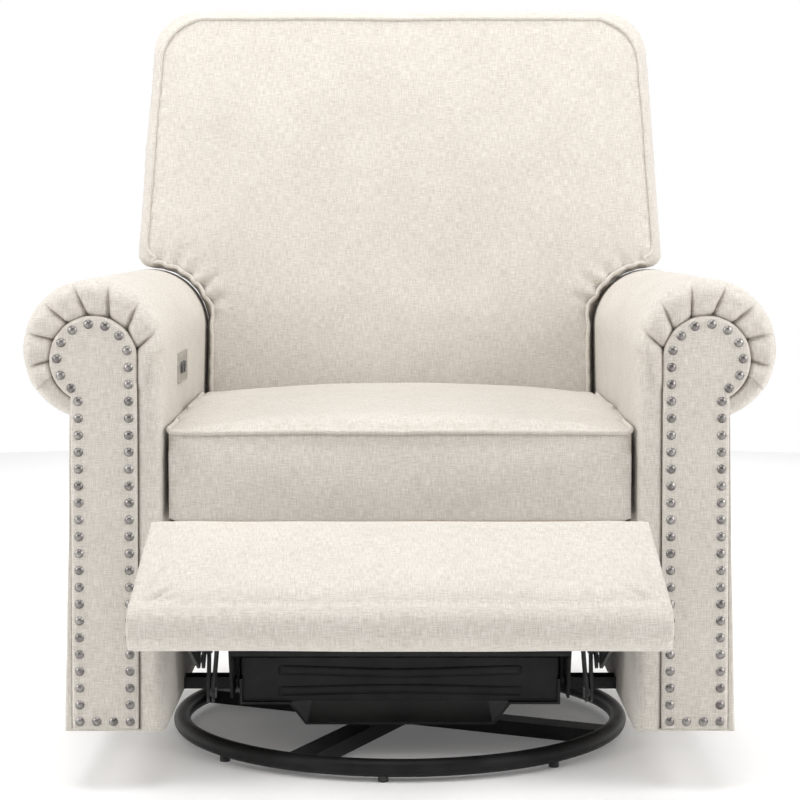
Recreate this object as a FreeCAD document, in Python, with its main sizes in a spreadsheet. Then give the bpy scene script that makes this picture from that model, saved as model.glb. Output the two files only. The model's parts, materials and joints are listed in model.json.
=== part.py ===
import FreeCAD, Part
import math
import os
import re
import Sketcher

# Powered swivel glider recliner for a nursery. Millimetres, +Z up, floor at Z = 0.
# X runs across the chair (left side +X), the chair faces -Y, and the swivel axis is the Z axis.
# It is drawn with the footrest three quarters of the way out.

SIZES = """
ring_radius 318; ring_tube 12; glide_height 6; glide_radius 7; glide_count 8; glide_turn 4
bar_width 38; bar_height 20; bar_turn 25; hub_radius 75; plate_gauge 5
race_inner 30; race_outer 72; race_gauge 6; ball_radius 4; ball_track 55; ball_count 12
kingpin_radius 8
layer_start 217; layer_pitch 6; gauge 3.5; pin_radius 5; pin_clearance 0.08; head_radius 7
head_gauge 2; head_gap 0.25
pan_half_length 195; pan_floor 130; pan_top 152; pan_gauge 3
rail_base 75; rail_top 110; channel_base 78; channel_top 138; channel_reach 22; channel_front 187
swing_y 150; swing_upper 190; swing_lower 100; swing_half_width 13
plate_base 86; plate_top 323; plate_front 288; plate_rear 250
tube_size 25; tube_wall 2; tube_y 224.5; tube_z 162.5
outrigger_z 86; outrigger_half_height 8; outrigger_front 92; outrigger_rear 200
outrigger_half_width 17
drive_u 271.259; drive_z 306.561; drive_radius 10; guide_u 268.892; guide_z 274
crank_mid 177.696; crank_length 196; crank_angle -38.334
lift_length 193.346; lift_tail 55.959; lift_angle 25.652; lift_bend 74.535
guide_length 201.25; guide_angle -41.403; brace_length 241.383; brace_angle 20.799
link_half_width 12; open_clearance 1.1; brace_clearance 4
footrest_tilt 15; bracket_back 70; bracket_reach 66; bracket_drop 85; brace_rise 8
footrest_half_width 300; footrest_length 268; footrest_padding 48; footrest_board 12
arm_inner 306; arm_front 362; arm_rear 322; arm_base 76; roll_centre 397; roll_height 573
roll_radius 91
waist_x 426; foot_x 437; cavity_inner 330; cavity_outer 414; cavity_top 541; board 18
panel_gauge 9; panel_inner 339; lobe_centre 395; lobe_height 561; lobe_radius 56; panel_outer 424
panel_base 82
nail_radius 6; nail_rise 3.5; nail_inset 10; nail_pitch 21.65
seat_half_width 303; seat_front 363; seat_base 346; seat_edge 468; seat_crown 490
seat_rear_height 480
seat_rail_gauge 22; seat_rail_width 40; seat_rail_rear 235; seat_rail_front 290; spring_wire 1.9
spring_count 5
hinge_y 262; hinge_z 335; hinge_radius 12; back_base 352; back_face 205; back_face_height 480
back_tilt 14
back_padding 95; back_frame_gauge 24; back_shell_gauge 16; back_narrow 296; back_wide 412
back_ear 672; back_top 1078
back_corner 75; shell_base 322; rear_panel_y 300; rear_panel_gauge 22; rear_panel_top 290
bezel_y -125; bezel_z 537; bezel_length 112; bezel_height 42; bezel_gauge 3; button_radius 8
button_gap 0.4
button_spacing 30; housing_depth 24
"""

doc = FreeCAD.newDocument("glider_recliner")
sheet = doc.addObject("Spreadsheet::Sheet", "Sizes")
names = []
for row, entry in enumerate(re.split(r"[;\n]\s*", SIZES.strip()), start=1):
    name, number = entry.split()
    sheet.set("A%d" % row, name)
    sheet.set("B%d" % row, number)
    sheet.setAlias("B%d" % row, name)
    names.append(name)
doc.recompute()

ALIAS = re.compile(r"\b(%s)\b" % "|".join(sorted(names, key=len, reverse=True)))


def size(expression):
    """Number that an expression in the sheet's names works out to."""
    return float(sheet.evalExpression(str(expression)))


def bind(feature, path, expression):
    """Tie one property or constraint to an expression in the sheet's names."""
    feature.setExpression(path, ALIAS.sub(r"Sizes.\1", str(expression)))


def move(feature, x=0, y=0, z=0):
    """Bind a feature's position."""
    for axis, expression in (("x", x), ("y", y), ("z", z)):
        bind(feature, "Placement.Base.%s" % axis, expression)


def box(name, x, y, z):
    """Box between two limits along each axis."""
    feature = doc.addObject("Part::Box", name)
    for side, (low, high) in (("Length", x), ("Width", y), ("Height", z)):
        bind(feature, side, "(%s) - (%s)" % (high, low))
    move(feature, x[0], y[0], z[0])
    return feature


def cylinder(name, axis, radius, low, high, across=(0, 0)):
    """Cylinder along X, Y or Z from low to high; across gives its place in the other two axes."""
    feature = doc.addObject("Part::Cylinder", name)
    bind(feature, "Radius", radius)
    bind(feature, "Height", "(%s) - (%s)" % (high, low))
    place = {
        "X": (low, across[0], across[1]),
        "Y": (across[0], low, across[1]),
        "Z": (across[0], across[1], low),
    }
    turn = {"X": ((0, 1, 0), 90), "Y": ((1, 0, 0), -90), "Z": ((0, 0, 1), 0)}
    feature.Placement.Rotation = FreeCAD.Rotation(FreeCAD.Vector(*turn[axis][0]), turn[axis][1])
    move(feature, *place[axis])
    return feature


def torus(name, radius, tube, z):
    feature = doc.addObject("Part::Torus", name)
    bind(feature, "Radius1", radius)
    bind(feature, "Radius2", tube)
    move(feature, 0, 0, z)
    return feature


def fuse(name, *features):
    joined = doc.addObject("Part::MultiFuse", name)
    joined.Shapes = list(features)
    return joined


def group(name, features):
    gathered = doc.addObject("Part::Compound", name)
    gathered.Links = list(features)
    return gathered


def cut(name, base, *tools):
    result = doc.addObject("Part::Cut", name)
    result.Base = base
    result.Tool = tools[0] if len(tools) == 1 else group(name + "_tools", tools)
    return result


def common(name, base, tool):
    result = doc.addObject("Part::Common", name)
    result.Base = base
    result.Tool = tool
    return result


def mirror(name, source, normal=(1, 0, 0)):
    twin = doc.addObject("Part::Mirroring", name)
    twin.Source = source
    twin.Normal = FreeCAD.Vector(*normal)
    return twin


def pair(name, source, normal=(1, 0, 0)):
    """A piece and its mirror image on the other side of the chair."""
    return group(name, [source, mirror(name + "_twin", source, normal)])


def prism(name, plane, outline, low, high, holes=()):
    """Padded outline. Its points are pairs of expressions, and a point ("arc", x, y) is one that the
    curve passes through on its way to the next point. Holes are (x, y, radius)."""
    body = doc.addObject("PartDesign::Body", name)
    sketch = body.newObject("Sketcher::SketchObject", name + "_outline")
    support = [item for item in body.Origin.OriginFeatures if item.Role == plane][0]
    sketch.AttachmentSupport = [(support, "")]
    sketch.MapMode = "FlatFace"
    corners = [point for point in outline if point[0] != "arc"]
    spots = [FreeCAD.Vector(size(x), size(y), 0) for x, y in corners]
    step = 0
    for index, point in enumerate(outline):
        if point[0] == "arc":
            continue
        after = outline[(index + 1) % len(outline)]
        start, end = spots[step], spots[(step + 1) % len(spots)]
        if after[0] == "arc":
            middle = FreeCAD.Vector(size(after[1]), size(after[2]), 0)
            sketch.addGeometry(Part.Arc(start, middle, end), False)
        else:
            sketch.addGeometry(Part.LineSegment(start, end), False)
        step += 1
    for x, y, radius in holes:
        centre = FreeCAD.Vector(size(x), size(y), 0)
        sketch.addGeometry(Part.Circle(centre, FreeCAD.Vector(0, 0, 1), size(radius)), False)
        hole = sketch.GeometryCount - 1
        pin_point(sketch, hole, 3, x, y)
        constraint = sketch.addConstraint(Sketcher.Constraint("Radius", hole, size(radius)))
        bind(sketch, "Constraints[%d]" % constraint, radius)
    for edge, (x, y) in enumerate(corners):
        start = nearest_end(sketch, edge, spots[edge])
        pin_point(sketch, edge, start, x, y)
        before = (edge - 1) % len(corners)
        sketch.addConstraint(Sketcher.Constraint(
            "Coincident",
            before,
            nearest_end(sketch, before, spots[edge]),
            edge,
            start,
        ))
    pad = body.newObject("PartDesign::Pad", name + "_pad")
    pad.Profile = sketch
    bind(pad, "Length", "(%s) - (%s)" % (high, low))
    if plane == "XZ_Plane":
        pad.Reversed = True
    along = {"YZ_Plane": (low, 0, 0), "XZ_Plane": (0, low, 0), "XY_Plane": (0, 0, low)}
    move(body, *along[plane])
    return body


def nearest_end(sketch, edge, spot):
    """Which end of an edge lies at a spot: 1 for its start, 2 for its end."""
    start = sketch.getPoint(edge, 1)
    end = sketch.getPoint(edge, 2)
    return 1 if (start - spot).Length <= (end - spot).Length else 2


def pin_point(sketch, edge, end, x, y):
    """Bind one sketch point to its distances from the origin."""
    for kind, expression in (("DistanceX", x), ("DistanceY", y)):
        number = sketch.addConstraint(Sketcher.Constraint(kind, -1, 1, edge, end, size(expression)))
        bind(sketch, "Constraints[%d]" % number, expression)


def layer(number):
    """Inner face of one layer of the mechanism, which is stacked outwards along X."""
    return "layer_start + %d * layer_pitch" % number


def layer_outer(number):
    return layer(number) + " + gauge"


def inner_head(number):
    """Inner face of a rivet head that lies against the inside of a layer."""
    return layer(number) + " - head_gap - head_gauge"


def outer_head(number):
    return layer_outer(number) + " + head_gap"


def rivet(name, y, z, low, high, head_low):
    """Shouldered rivet along X with one head."""
    shank = cylinder(name + "_shank", "X", "pin_radius", low, high, (y, z))
    head = cylinder(name + "_head", "X", "head_radius", head_low, head_low + " + head_gauge", (y, z))
    return fuse(name, shank, head)


def placed(feature, turn, x, y, z):
    """Turn a piece about X and move it."""
    feature.Placement = FreeCAD.Placement(
        FreeCAD.Vector(x, y, z), FreeCAD.Rotation(FreeCAD.Vector(1, 0, 0), turn)
    )
    return feature


nodes = {}


def keep(name, feature):
    """File a finished sub-part under its name."""
    feature.Label = name
    nodes[name] = feature
    return feature


# Base: a ring on glides, with crossbars that carry the swivel.
ring_z = "glide_height + ring_tube"
keep("base_ring", torus("ring", "ring_radius", "ring_tube", ring_z))
ring_cutter = torus("ring_cutter", "ring_radius", "ring_tube", ring_z)
pads = []
for index in range(int(size("glide_count"))):
    angle = "glide_turn + %d * 360 / glide_count" % index
    spot = ("ring_radius * cos(%s)" % angle, "-ring_radius * sin(%s)" % angle)
    pads.append(cylinder("glide_%d" % index, "Z", "glide_radius", 0, "glide_height + 2", spot))
keep("floor_glides", cut("glides", group("glide_blanks", pads), ring_cutter))


def crossbar(name, extra_turn):
    bar = box(
        name,
        ("-ring_radius + ring_tube / 2", "ring_radius - ring_tube / 2"),
        ("-bar_width / 2", "bar_width / 2"),
        ("glide_height + 2", "glide_height + 2 + bar_height"),
    )
    turned = group(name + "_turned", [bar])
    bind(turned, "Placement.Rotation.Angle", "360 - bar_turn - %d" % extra_turn)
    return turned


bar_a = crossbar("bar_a", 0)
bar_b = crossbar("bar_b", 90)
keep("base_crossbar_main", cut("bar_main", bar_a, ring_cutter))
keep("base_crossbar_halves", cut("bar_halves", bar_b, group("bar_tools", [ring_cutter, bar_a])))

hub_base = "glide_height + 2 + bar_height"
lower_race = hub_base + " + plate_gauge"
ball_z = lower_race + " + race_gauge + 1"
upper_race = lower_race + " + race_gauge + 2"
pan_base = upper_race + " + race_gauge"
kingpin = cylinder("kingpin_shank", "Z", "kingpin_radius", hub_base, pan_base + " + 18")
hub = cylinder("hub_disc", "Z", "hub_radius", hub_base, lower_race)
keep("base_hub_plate", cut("hub", hub, kingpin))
keep("kingpin", kingpin)


def ring_plate(name, low, groove):
    disc = cylinder(name + "_disc", "Z", "race_outer", low, low + " + race_gauge")
    bore = cylinder(name + "_bore", "Z", "race_inner", low, low + " + race_gauge")
    return cut(name, disc, bore, groove)


keep(
    "swivel_lower_race",
    ring_plate("race_lower", lower_race, torus("lower_groove", "ball_track", "ball_radius", ball_z)),
)
upper_groove = torus("upper_groove", "ball_track", "ball_radius + pin_clearance", ball_z)
keep("swivel_upper_race", ring_plate("race_upper", upper_race, upper_groove))
balls = []
for index in range(int(size("ball_count"))):
    ball = doc.addObject("Part::Sphere", "ball_%d" % index)
    bind(ball, "Radius", "ball_radius")
    turn = "%d * 360 / ball_count" % index
    move(ball, "ball_track * cos(%s)" % turn, "ball_track * sin(%s)" % turn, ball_z)
    balls.append(ball)
keep("swivel_balls", group("balls", balls))
nut_base = pan_base + " + pan_gauge + head_gap"
nut = cylinder("nut_disc", "Z", "kingpin_radius * 2", nut_base, nut_base + " + 10")
keep("kingpin_nut", cut("nut", nut, kingpin))

# Glide frame, which turns on the swivel: pan, cross channels and side rails with hanger ears.
pan_outline = [
    ("-layer_start", "rail_base"),
    ("-pan_top", "rail_base"),
    ("-pan_floor", pan_base),
    ("pan_floor", pan_base),
    ("pan_top", "rail_base"),
    ("layer_start", "rail_base"),
    ("layer_start", "channel_base"),
    ("pan_top - pan_gauge", "channel_base"),
    ("pan_floor - pan_gauge", pan_base + " + pan_gauge"),
    ("-pan_floor + pan_gauge", pan_base + " + pan_gauge"),
    ("-pan_top + pan_gauge", "channel_base"),
    ("-layer_start", "channel_base"),
]
pan = prism("pan", "XZ_Plane", pan_outline, "-pan_half_length", "pan_half_length")
pan_bore = cylinder("pan_bore", "Z", "kingpin_radius + 0.5", pan_base, pan_base + " + pan_gauge")
keep("glide_pan", cut("pan_bored", pan, pan_bore))
channel_outline = [
    ("-channel_front", "channel_base"),
    ("-channel_front + channel_reach", "channel_base"),
    ("-channel_front + channel_reach", "channel_base + pan_gauge"),
    ("-channel_front + pan_gauge", "channel_base + pan_gauge"),
    ("-channel_front + pan_gauge", "channel_top - pan_gauge"),
    ("-channel_front + channel_reach", "channel_top - pan_gauge"),
    ("-channel_front + channel_reach", "channel_top"),
    ("-channel_front", "channel_top"),
]
channel = prism("channel", "YZ_Plane", channel_outline, "-layer_start", "layer_start")
keep("glide_cross_channels", pair("channels", channel, (0, 1, 0)))
ear = [
    ("%sswing_y - 1.5 * swing_half_width", "rail_top"),
    ("%sswing_y - swing_half_width", "swing_upper"),
    ("arc", "%sswing_y", "swing_upper + swing_half_width"),
    ("%sswing_y + swing_half_width", "swing_upper"),
    ("%sswing_y + 1.5 * swing_half_width", "rail_top"),
]
rail_outline = [
    ("pan_half_length", "rail_base"),
    ("-pan_half_length", "rail_base"),
    ("-pan_half_length", "rail_top"),
]
for sign in ("-", ""):
    rail_outline += [tuple(part % sign if "%" in part else part for part in point) for point in ear]
rail_outline.append(("pan_half_length", "rail_top"))
ear_holes = [("%sswing_y" % sign, "swing_upper", "pin_radius") for sign in ("-", "")]
side_rail = prism("side_rail", "YZ_Plane", rail_outline, layer(0), layer_outer(0), ear_holes)
keep("glide_side_rails", pair("side_rails", side_rail))
upper_pins = []
lower_pins = []
for place, sign in (("front", "-"), ("rear", "")):
    y = sign + "swing_y"
    upper_pins.append(rivet(
        "upper_pin_" + place,
        y,
        "swing_upper",
        layer(0),
        outer_head(1),
        outer_head(1),
    ))
    lower_pins.append(rivet(
        "lower_pin_" + place,
        y,
        "swing_lower",
        inner_head(1),
        layer_outer(2),
        inner_head(1),
    ))
keep("glide_upper_pins", pair("upper_pins", group("upper_pins_half", upper_pins)))

# Swing links: the chair hangs on four of them.
for place, sign in (("front", "-"), ("rear", "")):
    centre = sign + "swing_y"
    link_outline = [
        (centre + " - swing_half_width", "swing_lower"),
        ("arc", centre, "swing_lower - swing_half_width"),
        (centre + " + swing_half_width", "swing_lower"),
        (centre + " + swing_half_width", "swing_upper"),
        ("arc", centre, "swing_upper + swing_half_width"),
        (centre + " - swing_half_width", "swing_upper"),
    ]
    bores = [(centre, end, "pin_radius + pin_clearance") for end in ("swing_lower", "swing_upper")]
    link = prism("swing_link_" + place, "YZ_Plane", link_outline, layer(1), layer_outer(1), bores)
    keep("swing_links_" + place, pair("swing_pair_" + place, link))

# Seat mechanism: side plates, cross tubes and outriggers to the arms.
plate_outline = [
    ("-0.82 * plate_rear", "plate_base"),
    ("0.82 * plate_rear", "plate_base"),
    ("plate_rear", "plate_base + 60"),
    ("hinge_y + hinge_radius", "hinge_z - hinge_radius"),
    ("hinge_y + hinge_radius", "hinge_z"),
    ("arc", "hinge_y", "hinge_z + hinge_radius"),
    ("hinge_y - hinge_radius", "hinge_z"),
    ("hinge_y - hinge_radius", "plate_top"),
    ("-plate_front", "plate_top"),
    ("-plate_front", "plate_top - 70"),
    ("-plate_front + 48", "plate_base + 70"),
]
plate_holes = [
    ("-drive_u", "drive_z", "drive_radius + pin_clearance"),
    ("-guide_u", "guide_z", "pin_radius"),
    ("hinge_y", "hinge_z", "pin_radius"),
    ("-swing_y", "swing_lower", "pin_radius"),
    ("swing_y", "swing_lower", "pin_radius"),
]
side_plate = prism("side_plate", "YZ_Plane", plate_outline, layer(2), layer_outer(2), plate_holes)
keep("seat_mechanism_plate_left", side_plate)
keep("seat_mechanism_plate_right", mirror("side_plate_right", side_plate))
lower_pins.append(rivet(
    "hinge_pin",
    "hinge_y",
    "hinge_z",
    inner_head(1),
    layer_outer(2),
    inner_head(1),
))
lower_pins.append(rivet("guide_pin", "-guide_u", "guide_z", layer(2), outer_head(3), outer_head(3)))
keep("mechanism_rivets", pair("plate_rivets", group("plate_rivets_half", lower_pins)))
tube_low = "tube_y - tube_size / 2"
tube_high = "tube_y + tube_size / 2"
tube_span = ("-(%s)" % layer(2), layer(2))
tube_heights = ("tube_z - tube_size / 2", "tube_z + tube_size / 2")
tube = box("tube", tube_span, (tube_low, tube_high), tube_heights)
tube_bore = box(
    "tube_bore",
    tube_span,
    (tube_low + " + tube_wall", tube_high + " - tube_wall"),
    (tube_heights[0] + " + tube_wall", tube_heights[1] + " - tube_wall"),
)
keep("mechanism_cross_tubes", pair("tubes", cut("tube_hollow", tube, tube_bore), (0, 1, 0)))
outriggers = []
for place, y in (("front", "-outrigger_front"), ("rear", "outrigger_rear")):
    outline = [
        (y + " - outrigger_half_width", "outrigger_z - outrigger_half_height"),
        (y + " + outrigger_half_width", "outrigger_z - outrigger_half_height"),
        (y + " + outrigger_half_width", "outrigger_z + outrigger_half_height"),
        (y + " + outrigger_half_width - gauge", "outrigger_z + outrigger_half_height"),
        (y + " + outrigger_half_width - gauge", "outrigger_z - outrigger_half_height + gauge"),
        (y + " - outrigger_half_width + gauge", "outrigger_z - outrigger_half_height + gauge"),
        (y + " - outrigger_half_width + gauge", "outrigger_z + outrigger_half_height"),
        (y + " - outrigger_half_width", "outrigger_z + outrigger_half_height"),
    ]
    outriggers.append(prism("outrigger_" + place, "YZ_Plane", outline, layer_outer(2), "arm_inner"))
keep("arm_outriggers", pair("outrigger_set", group("outrigger_half", outriggers)))

# Seat frame, springs and cushion.
frame_z = ("plate_top", "plate_top + seat_rail_gauge")
opening_x = "seat_half_width - 3 - seat_rail_width"
keep("seat_rail_front", box("seat_rail_front", ("-seat_half_width + 3", "seat_half_width - 3"),
                            ("-seat_rail_front", "-seat_rail_front + seat_rail_width"), frame_z))
keep("seat_rail_rear", box("seat_rail_rear", ("-seat_half_width + 3", "seat_half_width - 3"),
                           ("seat_rail_rear - seat_rail_width", "seat_rail_rear"), frame_z))
side_member = box("seat_side_member", (opening_x, "seat_half_width - 3"),
                  ("-seat_rail_front + seat_rail_width", "seat_rail_rear - seat_rail_width"), frame_z)
keep("seat_rails_side", pair("seat_side_members", side_member))
deck_y = ("-seat_rail_front + seat_rail_width + 1", "seat_rail_rear - seat_rail_width - 1")
keep("seat_deck", box("seat_deck", ("-(%s) + 1" % opening_x, opening_x + " - 1"), deck_y,
                      ("plate_top + 13", "plate_top + seat_rail_gauge")))

spring_z = size("plate_top") + 8
spring_start = size(deck_y[0]) + 1.5
spring_run = size(deck_y[1]) - 1.5 - spring_start
springs = []
for index in range(int(size("spring_count"))):
    centre = (index - (size("spring_count") - 1) / 2) * 90
    loops = 18
    bend = spring_run / loops / 2
    arcs = []
    for loop in range(loops):
        start = FreeCAD.Vector(centre, spring_start + 2 * bend * loop, spring_z)
        side = bend if loop % 2 else -bend
        middle = start + FreeCAD.Vector(side, bend, 0)
        end = start + FreeCAD.Vector(0, 2 * bend, 0)
        arcs.append(Part.Arc(start, middle, end).toShape())
    ring = Part.makeCircle(size("spring_wire"), arcs[0].Vertexes[0].Point, FreeCAD.Vector(1, 0, 0))
    springs.append(Part.Wire(arcs).makePipe(Part.Face(Part.Wire(ring))))
spring_set = doc.addObject("Part::Feature", "springs")
spring_set.Shape = Part.makeCompound(springs)
keep("seat_springs", spring_set)

face_slope = "tan(back_tilt)"


def back_face(z, offset=0):
    """Y of the back's front face at a height, moved rearwards by an offset."""
    return "back_face + (%s - back_face_height) * %s + %s" % (z, face_slope, offset)


seat_outline = [
    ("-seat_front", "seat_base"),
    (back_face("seat_base", -6), "seat_base"),
    (back_face("seat_rear_height", -6), "seat_rear_height"),
    ("arc", "-0.25 * seat_front", "seat_crown"),
    ("-seat_front + 14", "seat_edge"),
    ("-seat_front", "seat_edge - 14"),
]
keep(
    "seat_cushion",
    prism("seat_cushion", "YZ_Plane", seat_outline, "-seat_half_width", "seat_half_width"),
)

# Power drive: gear motor on the torque tube that swings the footrest linkage.
drive_y = "-drive_u"
drive_tube = cylinder(
    "torque_tube",
    "X",
    "drive_radius",
    "-(%s)" % layer_outer(5),
    layer_outer(5),
    (drive_y, "drive_z"),
)
keep("footrest_drive_tube", drive_tube)
gearbox_block = box(
    "gearbox_block",
    (-45, 45),
    ("-drive_u - 18", "-drive_u + 32"),
    ("drive_z - 36", "plate_top"),
)
gearbox_bore = cylinder("gearbox_bore", "X", "drive_radius + 0.3", -45, 45, (drive_y, "drive_z"))
keep("drive_gearbox", cut("gearbox", gearbox_block, gearbox_bore))
keep("drive_motor", cylinder("motor", "Y", 26, "-drive_u + 32", "-drive_u + 165", (0, "drive_z - 10")))


# Footrest linkage, the same on both sides of the chair. Angles are from straight ahead, upwards.
def along(start, length, angle):
    """Point at a distance and angle from another; points are (forward, up)."""
    return (
        start[0] + length * math.cos(math.radians(angle)),
        start[1] + length * math.sin(math.radians(angle)),
    )


drive = (size("drive_u"), size("drive_z"))
guide = (size("guide_u"), size("guide_z"))
elbow = along(drive, size("crank_mid"), size("crank_angle"))
crank_end = along(drive, size("crank_length"), size("crank_angle"))
lift_end = along(elbow, size("lift_length"), size("lift_angle"))
tail_end = along(elbow, -size("lift_tail"), size("lift_angle + lift_bend"))
pad_corner = along(
    along(lift_end, -size("bracket_back"), -size("footrest_tilt")),
    size("bracket_drop"),
    90 - size("footrest_tilt"),
)
brace_pin = along(
    along(lift_end, size("bracket_reach"), -size("footrest_tilt")),
    size("brace_rise"),
    90 - size("footrest_tilt"),
)


def link(name, number, length, holes):
    """Link lying along +Y from its first pivot, with rounded ends, in one layer."""
    width = "link_half_width"
    outline = [
        ("0", "-" + width),
        (length, "-" + width),
        ("arc", "%s + %s" % (length, width), "0"),
        (length, width),
        ("0", width),
        ("arc", "-" + width, "0"),
    ]
    return prism(name, "YZ_Plane", outline, layer(number), layer_outer(number), holes)


def set_link(name, feature, start, angle):
    """Swing a link that lies along +Y so that it points forward (-Y) at an angle, from a pivot."""
    held = group(name + "_held", [feature])
    placed(held, 180 - angle, 0, -start[0], start[1])
    return pair(name, held)


fixed = "pin_radius"
free = "pin_radius + pin_clearance"
crank = link(
    "crank",
    5,
    "crank_length",
    [("0", "0", "drive_radius"), ("crank_mid", "0", fixed), ("crank_length", "0", fixed)],
)
crank_boss = cylinder("crank_boss", "X", "drive_radius + 4", layer(5), layer_outer(5))
crank_full = cut("crank_full", fuse("crank_fused", crank, crank_boss),
                 cylinder("crank_bore", "X", "drive_radius", layer(5), layer_outer(5)))
keep("footrest_crank_links", set_link("cranks", crank_full, drive, size("crank_angle")))

arm_long = link("lift_arm", 4, "lift_length", [("0", "0", free), ("lift_length", "0", free)])
arm_tail = group(
    "lift_tail_turned",
    [link("lift_tail_arm", 4, "lift_tail", [("0", "0", free), ("lift_tail", "0", fixed)])],
)
arm_tail.Placement.Rotation = FreeCAD.Rotation(FreeCAD.Vector(1, 0, 0), 180 - size("lift_bend"))
lift_bores = [
    cylinder("lift_bore_elbow", "X", free, layer(4), layer_outer(4)),
]
lift = cut("lift", fuse("lift_fused", arm_long, arm_tail), *lift_bores)
keep("footrest_lift_links", set_link("lifts", lift, elbow, size("lift_angle")))

guide_bores = [("0", "0", free), ("guide_length", "0", "pin_radius + open_clearance")]
guide_link = link("guide_link", 3, "guide_length", guide_bores)
keep("footrest_guide_links", set_link("guides", guide_link, guide, size("guide_angle")))

brace_bores = [("0", "0", free), ("brace_length", "0", "pin_radius + brace_clearance")]
brace = link("brace", 6, "brace_length", brace_bores)
keep("footrest_brace_links", set_link("braces", brace, crank_end, size("brace_angle")))


def side_rivets(name, spot, low, high, head_low):
    """A rivet at a (forward, up) point of the linkage, and its twin."""
    return pair(name, rivet(name + "_one", -spot[0], spot[1], low, high, head_low))


keep("footrest_crank_pins", group("crank_pins", [
    side_rivets("elbow_pins", elbow, inner_head(4), layer_outer(5), inner_head(4)),
    side_rivets("brace_pins", crank_end, layer(5), outer_head(6), outer_head(6)),
]))
keep(
    "footrest_tail_pins",
    side_rivets("tail_pins", tail_end, inner_head(3), layer_outer(4), inner_head(3)),
)
keep("footrest_bracket_pins", group("bracket_pins", [
    side_rivets("lift_pins", lift_end, inner_head(4), layer_outer(5), inner_head(4)),
    side_rivets("pad_pins", brace_pin, layer(5), outer_head(6), outer_head(6)),
]))

# Footrest: padded board on two brackets. Drawn flat with its rear top edge at the origin, then set.
under_pad = "footrest_padding"
under_board = "footrest_padding + footrest_board"
pad_outline = [
    ("0", "-6"),
    ("-6", "0"),
    ("-footrest_length + 20", "0"),
    ("arc", "-footrest_length", "-footrest_padding / 2"),
    ("-footrest_length + 20", "-(%s)" % under_pad),
    ("0", "-(%s)" % under_pad),
]
footrest_pad = prism(
    "footrest_pad",
    "YZ_Plane",
    pad_outline,
    "-footrest_half_width",
    "footrest_half_width",
)
footrest_board = box(
    "footrest_board",
    ("-footrest_half_width + 12", "footrest_half_width - 12"),
    ("-footrest_length + 24", "-6"),
    ("-(%s)" % under_board, "-(%s)" % under_pad),
)
web_outline = [
    ("-bracket_back + 26", "-(%s)" % under_board),
    ("-bracket_back + 12", "-bracket_drop"),
    ("arc", "-bracket_back", "-bracket_drop - 12"),
    ("-bracket_back - bracket_reach", "-bracket_drop - 12 + brace_rise"),
    ("arc", "-bracket_back - bracket_reach - 12", "-bracket_drop + brace_rise"),
    ("-bracket_back - bracket_reach - 26", "-(%s)" % under_board),
]
web_holes = [
    ("-bracket_back", "-bracket_drop", fixed),
    ("-bracket_back - bracket_reach", "-bracket_drop + brace_rise", fixed),
]
web = prism("bracket_web", "YZ_Plane", web_outline, layer(5), layer_outer(5), web_holes)
flange = box(
    "bracket_flange",
    (layer(5) + " - 16", layer(5)),
    ("-bracket_back - bracket_reach - 26", "-bracket_back + 26"),
    ("-(%s) - gauge" % under_board, "-(%s)" % under_board),
)
for name, feature in (
    ("footrest_pad", footrest_pad),
    ("footrest_board", footrest_board),
    ("footrest_brackets", pair("bracket_pair", fuse("bracket", web, flange))),
):
    held = group(name + "_set", [feature])
    placed(held, size("footrest_tilt"), 0, -pad_corner[0], pad_corner[1])
    keep(name, held)

# Arms: wooden frame, rolled padding, front panel and nail heads; the left one is drawn.
arm_outline = [
    ("arm_inner", "arm_base"),
    ("foot_x", "arm_base"),
    ("waist_x", "roll_height - sqrt(roll_radius ^ 2 - (waist_x - roll_centre) ^ 2)"),
    ("arc", "roll_centre", "roll_height + roll_radius"),
    ("arm_inner", "roll_height"),
]
arm_solid = prism("arm_solid", "XZ_Plane", arm_outline, "-arm_front", "arm_rear")
arm_cavity = box(
    "arm_cavity",
    ("cavity_inner", "cavity_outer"),
    ("-arm_front + 10", "arm_rear - 12"),
    ("arm_base", "cavity_top"),
)
arm_pad = cut("arm_pad", arm_solid, arm_cavity)
frame_middle = "(cavity_inner + cavity_outer) / 2"
spine = box("arm_spine", (frame_middle + " - board / 2", frame_middle + " + board / 2"),
            ("-arm_front + 11 + board", "arm_rear - 13 - board"), ("arm_base + 4", "cavity_top"))
end_boards = [
    box(
        "arm_end_front",
        ("cavity_inner + 1", "cavity_outer - 1"),
        ("-arm_front + 11", "-arm_front + 11 + board"),
        ("arm_base + 4", "cavity_top"),
    ),
    box(
        "arm_end_rear",
        ("cavity_inner + 1", "cavity_outer - 1"),
        ("arm_rear - 13 - board", "arm_rear - 13"),
        ("arm_base + 4", "cavity_top"),
    ),
]
arm_frame = fuse("arm_frame", spine, *end_boards)
keep("arm_frame_left", arm_frame)
keep("arm_frame_right", mirror("arm_frame_right", arm_frame))
panel_outline = [
    ("panel_inner", "panel_base"),
    ("panel_outer", "panel_base"),
    ("panel_outer", "lobe_height - sqrt(lobe_radius ^ 2 - (panel_outer - lobe_centre) ^ 2)"),
    ("arc", "lobe_centre", "lobe_height + lobe_radius"),
    ("panel_inner", "lobe_height"),
]
panel = prism("arm_panel", "XZ_Plane", panel_outline, "-arm_front - panel_gauge", "-arm_front")
keep("arm_panel_left", panel)
keep("arm_panel_right", mirror("arm_panel_right", panel))

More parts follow.
